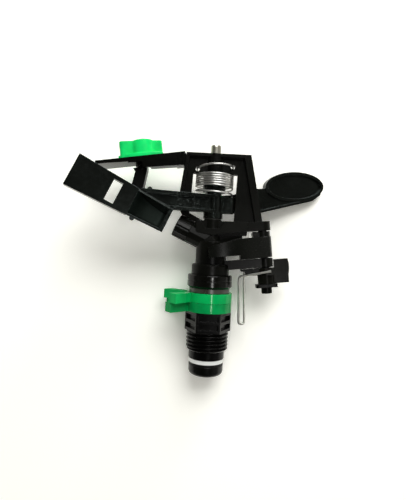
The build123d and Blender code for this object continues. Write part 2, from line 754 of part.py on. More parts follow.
# Drive vane, a bent sheet in the deflector's mouth
vane_back = rear_deep - 0.2
vane_front_y = vane_back - vane_thickness
vane_radius = (vane_length ** 2 + vane_floor ** 2) / (2 * vane_floor)
vane_plane = Plane(origin=(deflector_start, vane_front_y - vane_radius, deflector_z),
                   x_dir=(-math.cos(deflect), 0, math.sin(deflect)),
                   z_dir=(math.sin(deflect), 0, math.cos(deflect)))
sheet = Cylinder(vane_radius + vane_thickness, 3 * deflector_inlet)
sheet -= Cylinder(vane_radius, 3 * deflector_inlet)
vane = ((vane_plane.location * sheet) & mouth_hollow) - inlet_bar
pieces["drive_vane"] = Rot(0, 0, arm_rest_angle) * vane

# Arm spring: hook, open turn, close coils, open turn, bridge end
spring_turns = spring_lower_turn + spring_coils + 1
spring_steps = round(spring_turns * 4)
step_angle = -360 * spring_turns / spring_steps


def spring_height(turn):
    """Height of the winding after a number of turns."""
    coils = min(max(turn - spring_lower_turn, 0), spring_coils)
    lower = min(turn, spring_lower_turn) / spring_lower_turn
    rear = min(max(turn - spring_lower_turn - spring_coils, 0), 0.5) * 2
    over = max(turn - spring_lower_turn - spring_coils - 0.5, 0) * 2
    return (spring_low + spring_lower_rise * lower + spring_coil_pitch * coils
            + spring_rear_rise * rear - spring_front_fall * over)


levels = [spring_height(spring_turns * step / spring_steps) for step in range(spring_steps + 1)]
nodes, headings = coil_nodes(spring_radius, levels, spring_start_angle, step_angle)
up = Vector(0, 0, 1)
low_bend = nodes[0] - headings[0] * spring_bend - up * spring_bend
low_tip = Vector(low_bend.X, low_bend.Y, hook_top - hook_hole + 0.5)
high_tip = nodes[-1] + headings[-1] * (half_web - 0.3)
run = biarcs([low_bend] + nodes, [up] + headings)
spring_path = Wire([Line(low_tip, low_bend)] + run + [Line(nodes[-1], high_tip)])
pieces["arm_spring"] = rod(spring_path, spring_wire)
print("arm spring least gap", round(least_self_gap(spring_path, spring_wire, math.pi * spring_mean_d), 3))
for eye in (nodes[-1], nodes[-3]):
    body -= Pos(eye.X, 0, eye.Z) * Rot(90, 0, 0) * Cylinder(spring_eye_d / 2, 3 * bridge_web)
pieces["sprinkler_body"] = body

# Jet bracket: sloping channel on the bridge's corner
fall = math.radians(bracket_slope)
bracket_plane = Plane(origin=(bridge_top_left, 0, bridge_top - 0.3),
                      x_dir=(-math.cos(fall), 0, -math.sin(fall)),
                      z_dir=(-math.sin(fall), 0, math.cos(fall)))
half_width = bracket_width / 2
channel = Pos(-1, 0, -bracket_plate) * Box(bracket_length + 1, bracket_width, bracket_plate,
                                           align=(Align.MIN, Align.CENTER, Align.MIN))
skirt_fall = (bracket_skirt - bracket_skirt_end) / bracket_skirt_length
skirt_line = [(-1, 0), (bracket_skirt_length, 0), (bracket_skirt_length, -bracket_skirt_end),
              (-1, -bracket_skirt)]
channel += slab(skirt_line, half_width - bracket_skirt_wall, half_width)
floor_low = -bracket_skirt + skirt_fall * bracket_floor_length
floor_line = [(-1, bracket_floor - bracket_skirt), (bracket_floor_length, bracket_floor + floor_low),
              (bracket_floor_length, floor_low), (-1, -bracket_skirt)]
channel += slab(floor_line, half_width - bracket_floor_depth, half_width)
lip_line = [(0, 0), (bracket_length, 0), (bracket_length, -bracket_plate + 0.2),
            (bracket_step_end, -bracket_plate - bracket_lip),
            (bracket_step_end, -bracket_plate - bracket_step),
            (0, -bracket_plate - bracket_step)]
channel += slab(lip_line, half_width - bracket_skirt_wall, half_width)
stem_end = -bracket_plate - stem_below
channel += Pos(knob_reach, 0, stem_end) * Cylinder(bracket_boss_d / 2, -stem_end, align=BASE)
block_low = bracket_skirt - bracket_floor
channel += Pos(-1, 0, -block_low) * Box(bracket_block + 1, bracket_width, block_low,
                                        align=(Align.MIN, Align.CENTER, Align.MIN))
for spot in bracket_grooves:
    groove_cut = Box(bracket_groove, 2 * bracket_groove, bracket_skirt - 0.5, align=BASE)
    channel -= Pos(spot, half_width, -bracket_skirt) * groove_cut
stem_hole = Pos(knob_reach, 0, 0) * Cylinder(stem_d / 2 + running_clearance, 4 * bracket_skirt)
channel = bracket_plane.location * (channel - stem_hole)
behind_leg = slab([(bridge_top_left, bridge_top + 5), (bridge_top_right, bridge_top + 5),
                   (bridge_top_right, base_top), (bridge_foot_left, base_top + 7.0),
                   (bridge_top_left, bridge_top)],
                  -bracket_width, bracket_width)
notch_wide, notch_deep = bracket_notch
notch = slab([(bridge_top_left - notch_wide, bridge_top - notch_deep),
              (bridge_top_left + 2, bridge_top - notch_deep),
              (bridge_top_left + 2, bridge_top + 2), (bridge_top_left - notch_wide, bridge_top + 2)],
             -bracket_width, bracket_width)
pieces["jet_bracket"] = channel - behind_leg - notch

# Diffuser knob with its stem
bow = knob_depth / 2 - knob_flange_end / 2
half_flange = knob_flange_d / 2
bow_r = (half_flange ** 2 + bow ** 2) / (2 * bow)
bow_y = bow_r - knob_depth / 2
flange = Pos(0, bow_y) * Circle(bow_r) & Pos(0, -bow_y) * Circle(bow_r)
flange = flange & Rectangle(knob_flange_d, knob_depth)
knob = extrude(flange, knob_flange)
knob = fillet(knob.edges().filter_by(Axis.Z), 1.2)
knob = fillet(knob.faces().sort_by(Axis.Z)[-1].edges(), knob_rounding)
wing = Rot(0, 0, knob_wing_turn) * Rectangle(knob_wing_length, knob_wing_width)
grip_plan = Pos(-knob_hub_shift, 0) * Circle(knob_hub_d / 2) + wing
grip = extrude(fillet(grip_plan.vertices(), knob_blend), knob_height)
grip = fillet(grip.faces().sort_by(Axis.Z)[-1].edges(), knob_rounding)
knob += grip
stem_length = bracket_plate + stem_below - stem_recess
knob += Pos(0, 0, -stem_length) * Cylinder(stem_d / 2, stem_length + 1, align=BASE)
knob -= Pos(0, 0, -stem_length) * Cylinder(stem_bore / 2, stem_length + 5, align=BASE)
knob_place = bracket_plane.location * Pos(knob_reach, 0, 0)
pieces["diffuser_knob"] = knob_place * knob

# Diffuser blade, a post that the knob's screw lowers
blade_top = -bracket_plate - stem_below - 0.4
blade_lean = math.tan(math.radians(blade_slant))
blade_foot = blade_lean * (blade_bottom + blade_top)
blade = slab([(-2.4, blade_top), (blade_width - 1.2, blade_top), (blade_width - 2.0, blade_top - 1.8),
              (blade_width - 2.0 + blade_foot, -blade_bottom + 1.2), (blade_foot - 2.0, -blade_bottom),
              (-2.0, blade_top - 2.0)], -blade_back, blade_depth - blade_back)
blade += Pos(0, 0, blade_top - 1) * Cylinder(stem_bore / 2 - running_clearance, 1 + blade_spindle, align=BASE)
pieces["diffuser_blade"] = knob_place * blade

# Trip pin and the clip under the lever
lever_top = -lug_gap
lever_bottom = lever_top - trip_lever_height
clip_top = lever_bottom - face_gap
clip_bottom = clip_top - pin_clip_thickness
trip_pin = pivot_disc(trip_pin_d, clip_bottom, trip_pin_top)
trip_pin += pivot_disc(trip_pin_head_d, clip_bottom - trip_pin_head, clip_bottom)
pieces["trip_pin"] = at_pivot(trip_pin)
clip = Pos(0, 0, clip_bottom) * Box(pin_clip_length, pin_clip_width, pin_clip_thickness, align=BASE)
clip = fillet(clip.edges().filter_by(Axis.Z), 1.2)
pieces["pin_clip"] = at_pivot(clip - pivot_disc(trip_hole_d, clip_bottom, clip_top))

# Trip wire: front run, hairpin, rear leg
lever_hole_d = trip_pin_d + 2 * running_clearance
hook_point = pivot_plane.location.position + Vector(2.3, -pivot_boss_d / 2 - 0.9, -1.75)
rear_leg = hairpin_reach + hairpin_gap
rear_top = (pivot_plane * Pos(-trip_lever_arm + 1.9, 0, lever_top - 0.4)).position.Z
wire_route = [(hook_point.X, hook_point.Y, hook_point.Z), hairpin_corner,
              (hairpin_reach, -1.0, hairpin_bottom),
              (rear_leg, 0.0, hairpin_bottom), (hairpin_rear, 0.0, rear_top)]
wire_path = bent_line(wire_route, wire_bend * 0.9)
wire = rod(wire_path, wire_d)
wire_room = rod(wire_path, wire_d + 2 * seat_clearance)
pieces["trip_wire"] = wire

# Trip lever with its arm, wire hook and flag
lever = pivot_disc(pivot_boss_d, lever_bottom, lever_top)
lever += slab([(0, lever_top), (-trip_lever_arm, lever_top), (-trip_lever_arm, lever_top - trip_lever_tip),
               (-trip_lever_arm + 1.7, lever_top - 1.1), (-trip_lever_arm + 2.7, lever_top - 3.4),
               (0, lever_top - 3.4)], -2.5, 2.5)
flag_in = pivot_boss_d / 2 - 1.0
flag_out = pivot_boss_d / 2 + 0.4
flag_top = lever_bottom + flag_height
flag_tip = flag_out + flag_width
lever += Pos(flag_in, 0, lever_bottom) * Box(flag_tip - flag_in, flag_thickness, lever_top - lever_bottom,
                                             align=(Align.MIN, Align.CENTER, Align.MIN))
flag_edge = ThreePointArc((flag_tip - flag_cut, 0, lever_bottom + 0.7),
                          (flag_tip + flag_swell, 0, lever_bottom + 0.55 * flag_height),
                          (flag_tip, 0, flag_top))
flag_line = Polyline((flag_tip, 0, flag_top), (flag_out, 0, flag_top), (flag_out, 0, lever_bottom),
                     (flag_tip - flag_cut, 0, lever_bottom + 0.7))
lever += extrude(make_face(flag_edge + flag_line), flag_thickness / 2, both=True)
lever += Pos(1.4, -pivot_boss_d / 2 + 0.6, lever_top - 3.6) * Box(4.2, 1.4, 3.0,
                                                                 align=(Align.CENTER, Align.MAX, Align.MIN))
toggle_y = 5.6
toggle_x = -5.0
lever += Pos(toggle_x, toggle_y / 2, lever_top - 3.4) * Box(2.4, toggle_y + 2.4, 1.6,
                                                           align=(Align.CENTER, Align.CENTER, Align.MIN))
lever -= pivot_disc(lever_hole_d, lever_bottom, lever_top)
pieces["trip_lever"] = at_pivot(lever) - wire_room

# Reversing lever: boss with a thick arm curving round the barrel's front
boss_low = reversing_bottom + reversing_height
reversing = pivot_disc(pivot_boss_d, reversing_bottom, boss_low)
reversing += pivot_disc(pivot_boss_d - 0.8, boss_low, reversing_top)
arm_reach = pivot_reach + 0.5
arm_front = barrel_d / 2 + reversing_end_gap + reversing_thickness
arm_inner = arm_front - reversing_thickness
boss_r = pivot_boss_d / 2
arm_bend = (-9.0, -0.78 * arm_front)
touch_turn = math.atan2(arm_bend[1], arm_bend[0]) + math.acos(boss_r / math.hypot(*arm_bend))
touch = (boss_r * math.cos(touch_turn), boss_r * math.sin(touch_turn))
arm_plan = (Spline(touch, arm_bend, (-18.0, -arm_front), (-arm_reach, -arm_front))
            + Line((-arm_reach, -arm_front), (-arm_reach, -arm_inner))
            + Spline((-arm_reach, -arm_inner), (-19.0, -arm_inner), (-10.5, -0.6 * arm_inner), (-3.0, 0.5))
            + Line((-3.0, 0.5), touch))
arm_band = extrude(make_face(arm_plan), boss_low - 0.2 - reversing_bottom, dir=(0, 0, 1))
arm_band -= Pos(-reversing_relief_start, 0, -1) * Box(3 * arm_reach, 6 * arm_front, reversing_relief + 1,
                                                      align=(Align.MAX, Align.CENTER, Align.MIN))
arm_ceiling = boss_low - 0.2
arm_taper = slab([(-reversing_taper_start, arm_ceiling), (-arm_reach - 1, arm_ceiling - reversing_taper),
                  (-arm_reach - 1, arm_ceiling + 1), (-reversing_taper_start, arm_ceiling + 1)],
                 -3 * arm_front, 0)
reversing += Pos(0, 0, reversing_bottom) * arm_band - arm_taper
reversing += Pos(0, 0, boss_low - 0.4) * Box(reversing_boss_left, pivot_boss_d - 2.0,
                                             reversing_top_boss + 0.4,
                                             align=(Align.MAX, Align.CENTER, Align.MIN))
reversing += Pos(toggle_x, toggle_y / 2 + 0.6, boss_low - 1.6) * Box(2.4, toggle_y + 1.2, 1.6, align=BASE)
reversing += Pos(toggle_x / 2, 1.2, boss_low - 1.6) * Box(-toggle_x, 3.0, 1.6, align=BASE)
reversing -= pivot_disc(lever_hole_d, reversing_bottom, reversing_top)
pieces["reversing_lever"] = at_pivot(reversing)

# Toggle spring behind the bracket
toggle_low = lever_top - 1.8
toggle_high = boss_low - 1.6
toggle_room = toggle_pitch * toggle_turns
toggle_start = (toggle_low + toggle_high - toggle_room) / 2
toggle_steps = toggle_turns * 4
toggle_levels = [toggle_start + toggle_room * step / toggle_steps for step in range(toggle_steps + 1)]
toggle_nodes, toggle_headings = coil_nodes(toggle_mean_d / 2, toggle_levels, 0, 90)
toggle_bend = 0.8
low_turn = toggle_nodes[0] - toggle_headings[0] * toggle_bend - up * toggle_bend
high_turn = toggle_nodes[-1] + toggle_headings[-1] * toggle_bend + up * toggle_bend
toggle_run = biarcs([low_turn] + toggle_nodes + [high_turn], [up] + toggle_headings + [up])
toggle_path = Wire([Line(Vector(low_turn.X, low_turn.Y, toggle_low + 0.05), low_turn)] + toggle_run
                   + [Line(high_turn, Vector(high_turn.X, high_turn.Y, toggle_high - 0.05))])
pieces["toggle_spring"] = at_pivot(Pos(toggle_x, toggle_y, 0) * rod(toggle_path, toggle_wire))
print("toggle spring least gap", round(least_self_gap(toggle_path, toggle_wire, math.pi * toggle_mean_d), 3))

os.makedirs("parts", exist_ok=True)
for name, shape in pieces.items():
    export_step(shape, "parts/" + name + ".step")
    print(name, len(shape.solids()), round(shape.volume, 1))
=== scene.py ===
import math

import bpy
from mathutils import Matrix, Vector


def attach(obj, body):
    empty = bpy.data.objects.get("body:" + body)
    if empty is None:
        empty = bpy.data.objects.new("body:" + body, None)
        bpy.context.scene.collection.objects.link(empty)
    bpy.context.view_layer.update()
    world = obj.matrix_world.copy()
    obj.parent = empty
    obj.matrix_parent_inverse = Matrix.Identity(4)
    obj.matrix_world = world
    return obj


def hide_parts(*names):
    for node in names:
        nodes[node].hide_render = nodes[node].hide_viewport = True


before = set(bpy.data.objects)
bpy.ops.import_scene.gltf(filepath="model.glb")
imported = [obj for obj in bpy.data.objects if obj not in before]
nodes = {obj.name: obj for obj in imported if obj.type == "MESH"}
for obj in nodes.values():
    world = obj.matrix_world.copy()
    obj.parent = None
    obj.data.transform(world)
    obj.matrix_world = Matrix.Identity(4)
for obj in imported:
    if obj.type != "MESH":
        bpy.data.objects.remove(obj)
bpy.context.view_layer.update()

# Camera: the sprinkler lies on its back on a white table and is seen from straight above,
# a hand's breadth away, with the spin axis turned a little in the picture.
camera_place = (-0.004146, -0.1823, 0.04004)
camera_turn = math.radians(2.82)
camera_data = bpy.data.cameras.new("camera")
camera_data.sensor_fit = "VERTICAL"
camera_data.sensor_height = 36.0
camera_data.lens = 26.0
camera_data.clip_start = 0.01
camera = bpy.data.objects.new("camera", camera_data)
bpy.context.scene.collection.objects.link(camera)
camera.matrix_world = Matrix((
    (math.cos(camera_turn), -math.sin(camera_turn), 0.0, camera_place[0]),
    (0.0, 0.0, -1.0, camera_place[1]),
    (math.sin(camera_turn), math.cos(camera_turn), 0.0, camera_place[2]),
    (0.0, 0.0, 0.0, 1.0),
))
bpy.context.scene.camera = camera
bpy.context.scene.view_settings.view_transform = "Standard"


# Inlet nipple: the threaded inlet with its hexagon and neck, injection moulded in black nylon.
# The mould leaves a satin skin with faint flow marks, and handling rubs its edges paler.
class Shade:
    """A value inside a finish: sums written on it become Math nodes."""

    def __init__(self, tree, socket):
        self.tree = tree
        self.socket = socket

    def node(self, kind, settings=(), inlets=(), outlet=0):
        """Any other node: its settings first, then the values or links of its sockets."""
        made = self.tree.nodes.new(kind)
        for name, value in dict(settings).items():
            if name == "stops":
                for stop, (spot, level) in zip(made.color_ramp.elements, value):
                    stop.position = spot
                    stop.color = (level, level, level, 1.0)
            else:
                setattr(made, name, value)
        for name, value in dict(inlets).items():
            if isinstance(value, Shade):
                self.tree.links.new(value.socket, made.inputs[name])
            else:
                made.inputs[name].default_value = value
        return Shade(self.tree, made.outputs[outlet])

    def sum(self, operation, first, second):
        """One Math node on two values."""
        return self.node("ShaderNodeMath", {"operation": operation}, {0: first, 1: second})

    def __add__(self, other):
        return self.sum("ADD", self, other)

    __radd__ = __add__

    def __sub__(self, other):
        return self.sum("SUBTRACT", self, other)

    def __rsub__(self, other):
        return self.sum("SUBTRACT", other, self)

    def __mul__(self, other):
        return self.sum("MULTIPLY", self, other)

    __rmul__ = __mul__

    def noise(self, size, detail=2.0, stretch=(1.0, 1.0, 1.0)):
        """Mottle with blotches of about this size in metres, drawn out along a direction."""
        spread = self.node("ShaderNodeMapping", {"vector_type": "POINT"}, {"Vector": self, "Scale": stretch})
        return self.node("ShaderNodeTexNoise", {},
                         {"Vector": spread, "Scale": 1.0 / size, "Detail": detail})

    def ramp(self, low, high):
        """The value stretched so that low becomes 0 and high becomes 1."""
        return self.node("ShaderNodeValToRGB", {"stops": ((low, 0.0), (high, 1.0))}, {"Fac": self})

    def tint(self, first, second):
        """Colour from first to second as the value goes from 0 to 1."""
        return self.node("ShaderNodeMix", {"data_type": "RGBA"},
                         {0: self, 6: (*first, 1.0), 7: (*second, 1.0)}, outlet=2)


def new_finish(name):
    """An empty finish with its place on the piece."""
    finish = bpy.data.materials.new(name)
    finish.use_nodes = True
    tree = finish.node_tree
    place = Shade(tree, tree.nodes.new("ShaderNodeTexCoord").outputs["Object"])
    return finish, place


def feed(place, **values):
    """Link or set the shader's sockets, named with _ for spaces."""
    shader = place.tree.nodes["Principled BSDF"]
    for name, value in values.items():
        socket = shader.inputs[name.replace("_", " ")]
        if isinstance(value, Shade):
            place.tree.links.new(value.socket, socket)
        else:
            socket.default_value = value


def rounded_edges(place, radius):
    """Normals that roll over sharp edges, and a mask that is 1 along them."""
    rolled = place.node("ShaderNodeBevel", {"samples": 6}, {"Radius": radius})
    flat = place.node("ShaderNodeNewGeometry", outlet="True Normal")
    along = place.node("ShaderNodeVectorMath", {"operation": "DOT_PRODUCT"},
                       {0: rolled, 1: flat}, outlet="Value")
    return rolled, (1.0 - along).ramp(0.02, 0.22)


moulded_edge = 0.0003
flow_size = 0.009
scuff_size = 0.0016


def moulded(name, colour, worn, roughness, gloss=0.2, grain=0.0005, depth=0.00001,
            stretch=(1.0, 1.0, 1.0)):
    """Moulded plastic: flow marks, a fine grain and rubbed edges."""
    finish, place = new_finish(name)
    rolled, edge = rounded_edges(place, moulded_edge)
    flow = place.noise(flow_size, 3.0, stretch)
    fine = place.noise(grain, 3.0)
    scuff = place.noise(scuff_size, 4.0).ramp(0.45, 0.7)
    paler = tuple(1.6 * channel for channel in colour)
    skin = flow.ramp(0.3, 0.75).tint(colour, paler)
    base = place.node("ShaderNodeMix", {"data_type": "RGBA"},
                      {0: edge * scuff, 6: skin, 7: (*worn, 1.0)}, outlet=2)
    bump = place.node("ShaderNodeBump", {},
                      {"Strength": 1.0, "Distance": depth, "Height": fine, "Normal": rolled})
    feed(place, Base_Color=base, Roughness=flow * 0.1 + scuff * 0.05 + (roughness - 0.07),
         Normal=bump, Specular_IOR_Level=gloss)
    return finish


def dress(finish, *names):
    """Give CAD nodes their finish."""
    for name in names:
        nodes[name].data.materials.clear()
        nodes[name].data.materials.append(finish)


rubbed_black = (0.02, 0.02, 0.017)
nipple_black = moulded("nipple_black", (0.0012, 0.0012, 0.0011), rubbed_black, roughness=0.24,
                       gloss=0.14, depth=0.000004, stretch=(1.0, 1.0, 0.3))
dress(nipple_black, "inlet_nipple")

# White washer and tail seal: a low-friction ring and a rubber ring, slipped over the bearing tube
# and pinched between the nipple's end and the tube's flange.
turned_edge = 0.0002
washer_white, place = new_finish("washer_white")
rolled = rounded_edges(place, turned_edge)[0]
smear = place.noise(0.003, 3.0, (1.0, 1.0, 3.0))
washer_clean, washer_grubby = (0.88, 0.9, 0.88), (0.74, 0.76, 0.74)
feed(place, Base_Color=smear.ramp(0.3, 0.8).tint(washer_clean, washer_grubby),
     Roughness=smear * 0.2 + 0.35, Normal=rolled)
dress(washer_white, "white_washer")
seal_black = moulded("seal_black", (0.002, 0.002, 0.0018), (0.008, 0.008, 0.007), roughness=0.5,
                     grain=0.0003, depth=0.00002)
dress(seal_black, "tail_seal")

# Bearing tube: the tube on which the head turns in the nipple, with the waterway through it.
# It is moulded in black acetal, and the rounded flange at its foot holds up the tail stack.
tube_black = moulded("tube_black", (0.0018, 0.002, 0.0014), rubbed_black, roughness=0.24,
                     stretch=(1.0, 1.0, 0.4))
dress(tube_black, "bearing_tube")

# Dust seal: a smoky grey sleeve of soft plastic, clouded by wear.
# It stands on the nipple's neck under the sand cap and keeps grit out of the bearing.
seal_grey, place = new_finish("seal_grey")
rolled = rounded_edges(place, turned_edge)[0]
cloud = place.noise(0.004, 3.0, (1.0, 1.0, 0.4))
seal_dark, seal_pale = (0.035, 0.034, 0.026), (0.062, 0.06, 0.048)
feed(place, Base_Color=cloud.ramp(0.35, 0.7).tint(seal_dark, seal_pale),
     Roughness=cloud * 0.15 + 0.22, Normal=rolled)
dress(seal_grey, "dust_seal")

# Sand cap: the round black hood over the bearing spring, moulded in acetal with a polished skin
# and a groove round it. It is pressed on the tube under the body.
cap_black = moulded("cap_black", (0.0024, 0.0025, 0.0018), rubbed_black, roughness=0.17, gloss=0.22,
                    stretch=(1.0, 1.0, 0.3))
dress(cap_black, "sand_cap")


# Bearing spring: two and a half turns of hard-drawn stainless wire, pressed between the nipple's
# spigot and the roof of the sand cap. It pulls the tail stack together, so that the seals are tight.
def wire_steel(name, colour, roughness):
    """Drawn wire: bright and smooth, with a dull film in patches."""
    finish, place = new_finish(name)
    film = place.noise(0.0035, 3.0)
    darker = tuple(0.78 * channel for channel in colour)
    feed(place, Base_Color=film.ramp(0.45, 0.75).tint(colour, darker), Metallic=1.0,
         Roughness=film * 0.12 + (roughness - 0.06))
    return finish


def wound_wire(name, wire, points, finish, body):
    """A wire of this diameter along smooth points, in millimetres, made a mesh in place of its node."""
    line = bpy.data.curves.new(name, "CURVE")
    line.dimensions = "3D"
    line.bevel_depth = wire / 2000.0
    line.bevel_resolution = 3
    line.use_fill_caps = True
    line.resolution_u = 4
    run = line.splines.new("BEZIER")
    run.bezier_points.add(len(points) - 1)
    for knot, point in zip(run.bezier_points, points):
        knot.co = Vector(point) / 1000.0
        knot.handle_left_type = "AUTO"
        knot.handle_right_type = "AUTO"
    piece = bpy.data.objects.new(name, line)
    bpy.context.scene.collection.objects.link(piece)
    bpy.ops.object.select_all(action="DESELECT")
    bpy.context.view_layer.objects.active = piece
    piece.select_set(True)
    bpy.ops.object.convert(target="MESH")
    bpy.ops.object.shade_smooth()
    piece.data.materials.clear()
    piece.data.materials.append(finish)
    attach(piece, body)
    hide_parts(name.replace("_wound", ""))


spring_steel = wire_steel("spring_steel", (0.7, 0.69, 0.66), roughness=0.32)
knots_per_turn = 16
bearing_wire = 0.8
bearing_turns = 2.5
bearing_radius = 7.33
bearing_foot = 23.03
bearing_rise = 3.26
bearing_steps = int(bearing_turns * knots_per_turn)
bearing_knots = []
for step in range(bearing_steps + 1):
    angle = math.radians(360.0 / knots_per_turn * step)
    height = bearing_foot + bearing_rise * (step / bearing_steps)
    bearing_knots.append((bearing_radius * math.cos(angle), bearing_radius * math.sin(angle), height))
wound_wire("bearing_spring_wound", bearing_wire, bearing_knots, spring_steel, "head")


# Stop collars: two spring clips of green polypropylene that grip the nipple's neck.
# Their ears are squeezed to move them, and where the ears stand sets the arc that is watered.
def clip_green(name, colour, worn):
    """Green plastic, polished round the ring and matt on the ears, where fingers squeeze it."""
    finish = moulded(name, colour, worn, roughness=0.13, gloss=0.16, grain=0.0007, depth=0.000006)
    tree = finish.node_tree
    place = Shade(tree, tree.nodes["Texture Coordinate"].outputs["Object"])
    polished = Shade(tree, tree.nodes["Principled BSDF"].inputs["Roughness"].links[0].from_socket)
    outward = place.node("ShaderNodeSeparateXYZ", {}, {0: place}, outlet="X")
    # The ears begin 10.5 to 12.5 mm out from the axis, which is 0.21 to 0.25 on this scale.
    ears = (outward * -20.0).ramp(0.21, 0.25)
    matt = 0.5
    feed(place, Roughness=polished + ears * matt)
    return finish


upper_green = clip_green("upper_green", (0.0012, 0.31, 0.072), (0.01, 0.4, 0.13))
dress(upper_green, "upper_stop_collar")
# Both collars are the same green plastic; the lower one's darker green and darker rubbed green are painted
# shade.
lower_green_shaded = clip_green("lower_green_shaded", (0.0012, 0.23, 0.056), (0.01, 0.34, 0.11))
dress(lower_green_shaded, "lower_stop_collar")

# Sprinkler body: neck, barrel, nozzle tube, bridge and pivot lugs in one moulding of black nylon.
# Its mould has a finely blasted face, so it is satin, and it sits on the tube above the sand cap.
body_black = moulded("body_black", (0.003, 0.0032, 0.0023), rubbed_black, roughness=0.32, gloss=0.1,
                     grain=0.0006)
dress(body_black, "sprinkler_body")

# Nozzle cap and stream straightener: a fluted black cap on the end of the nozzle tube, smooth
# from its mould, and a grey cross of fins pushed into the tube, which calms the water.
nozzle_black = moulded("nozzle_black", (0.003, 0.0031, 0.0024), rubbed_black, roughness=0.18, gloss=0.16)
dress(nozzle_black, "nozzle_cap")
fin_grey = moulded("fin_grey", (0.12, 0.12, 0.11), (0.2, 0.2, 0.19), roughness=0.45)
dress(fin_grey, "stream_straightener")

# Fulcrum pin and hub washer: a turned stainless pin through the bridge, slotted on top,
# and the thin washer under the arm's hub.
pin_steel, place = new_finish("pin_steel")
rolled = rounded_edges(place, turned_edge)[0]
turned = place.noise(0.0004, 2.0, (0.05, 0.05, 1.0))
dull = place.noise(0.002, 3.0)
turned_depth = 0.00001
bump = place.node("ShaderNodeBump", {},
                  {"Strength": 0.7, "Distance": turned_depth, "Height": turned, "Normal": rolled})
pin_bright, pin_dull = (0.4, 0.39, 0.33), (0.3, 0.29, 0.24)
feed(place, Base_Color=dull.ramp(0.35, 0.7).tint(pin_bright, pin_dull), Metallic=1.0,
     Roughness=turned * 0.2 + 0.32, Normal=bump)
dress(pin_steel, "fulcrum_pin")
hub_grey = moulded("hub_grey", (0.05, 0.05, 0.045), (0.12, 0.12, 0.11), roughness=0.42)
dress(hub_grey, "hub_washer")

# Rocker arm: the long black swinging arm with its jet box, hub and oval tail weight, in one moulding.
# Its web keeps the grain of a spark-eroded mould and glints in small cells, and its tail glints less.
arm_black, place = new_finish("arm_black")
rolled, edge = rounded_edges(place, moulded_edge)
flow = place.noise(flow_size, 3.0)
scuff = place.noise(scuff_size, 4.0).ramp(0.45, 0.7)
cells = place.noise(0.0016, 2.0) + place.noise(0.0007, 2.0) * 0.3
along_arm = place.node("ShaderNodeSeparateXYZ", {}, {0: place}, outlet="X")
# From 62.5 mm on the box's side of the axis to 62.5 mm on the tail's side, as 0 to 1.
span = along_arm * 8.0 + 0.5
past_box = span.ramp(0.3, 0.36)
on_tail = span.ramp(0.66, 0.74)
cast = past_box * (1.05 - on_tail * 0.8)
cell_depth = 0.00026
bump = place.node("ShaderNodeBump", {},
                  {"Strength": 1.0, "Distance": cell_depth, "Height": cells * cast, "Normal": rolled})
# Along the edges, in patches, the arm turns a paler grey: rubbed wear, made paler still as a painted
# highlight on the flanges' edges.
arm_dark, arm_pale, arm_worn_edge_highlight = (0.0024, 0.0027, 0.002), (0.004, 0.0044, 0.0034), (0.03, 0.032, 0.028)
arm_sheen = (0.85, 1.0, 0.95, 1.0)
skin = flow.ramp(0.3, 0.75).tint(arm_dark, arm_pale)
base = place.node("ShaderNodeMix", {"data_type": "RGBA"},
                  {0: edge * scuff, 6: skin, 7: (*arm_worn_edge_highlight, 1.0)}, outlet=2)
feed(place, Base_Color=base, Roughness=flow * 0.08 + scuff * 0.05 + 0.16, Normal=bump,
     Specular_IOR_Level=0.36, Specular_Tint=arm_sheen)
dress(arm_black, "rocker_arm")

# Drive vane: the curved blade in the box's mouth, which the jet strikes to swing the arm out.
# It is moulded apart in smooth, slightly shiny black plastic and fixed between the box's sides.
vane_black = moulded("vane_black", (0.0014, 0.0024, 0.0018), rubbed_black, roughness=0.34, gloss=1.0,
                     depth=0.000006)
vane_sheen = (0.75, 1.0, 0.88, 1.0)
vane_black.node_tree.nodes["Principled BSDF"].inputs["Specular Tint"].default_value = vane_sheen
dress(vane_black, "drive_vane")

# Arm spring: stainless wire wound left-handed round the hub's drum; the lower end hooks the arm
# and the upper end goes into the bridge. It returns the arm after each knock.
spring_wire = 0.9
spring_start = -12.0
coil_radius = 9.2
end_radius = 8.95
coil_first, coil_last = 0.3, 6.6
easing = 0.08
spring_marks = ((0.0, 68.4), (0.2167, 68.3), (0.4667, 70.05), (1.2167, 71.9), (6.2167, 77.4),
                (6.4667, 77.45), (6.9667, 82.2), (7.2167, 81.95), (7.4667, 80.5))
spring_turns = spring_marks[-1][0]


def spring_height(turn):
    """Height of the winding in millimetres after so many turns."""
    turn = min(max(turn, 0.0), spring_turns)
    for (near, low), (far, high) in zip(spring_marks, spring_marks[1:]):
        if turn <= far:
            return low + (high - low) * (turn - near) / (far - near)


# The lower end stands in the hook on the arm's web before the first turn.
spring_knots = [(9.0, -0.3, 66.0), (9.0, -0.6, 66.9), (9.0, -1.1, 67.8)]
spring_steps = int(spring_turns * knots_per_turn)
for step in range(1, spring_steps + 1):
    turn = spring_turns * step / spring_steps
    angle = math.radians(spring_start - 360.0 * turn)
    radius = coil_radius if coil_first < turn < coil_last else end_radius
    height = sum(spring_height(turn + shift) for shift in (-easing, 0.0, easing)) / 3.0
    spring_knots.append((radius * math.cos(angle), radius * math.sin(angle), height))
spring_knots.append((-end_radius, 1.1, 80.4))
wound_wire("arm_spring_wound", spring_wire, spring_knots, spring_steel, "head")

# Jet bracket: a black channel that slopes out over the jet and carries the diffuser.
# It is moulded along its length and welded to the bridge's corner.
bracket_black = moulded("bracket_black", (0.0022, 0.0024, 0.0018), rubbed_black, roughness=0.2,
                        stretch=(0.3, 1.0, 1.0))
dress(bracket_black, "jet_bracket")

# Diffuser knob: a three-lobed turn knob, moulded with its stem in bright green polypropylene.
# The stem goes through the bracket, and the flange under the lobes turns on it.
knob_green = moulded("knob_green", (0.004, 0.57, 0.122), (0.03, 0.66, 0.2), roughness=0.2,
                     grain=0.0007, depth=0.000006)
dress(knob_green, "diffuser_knob")

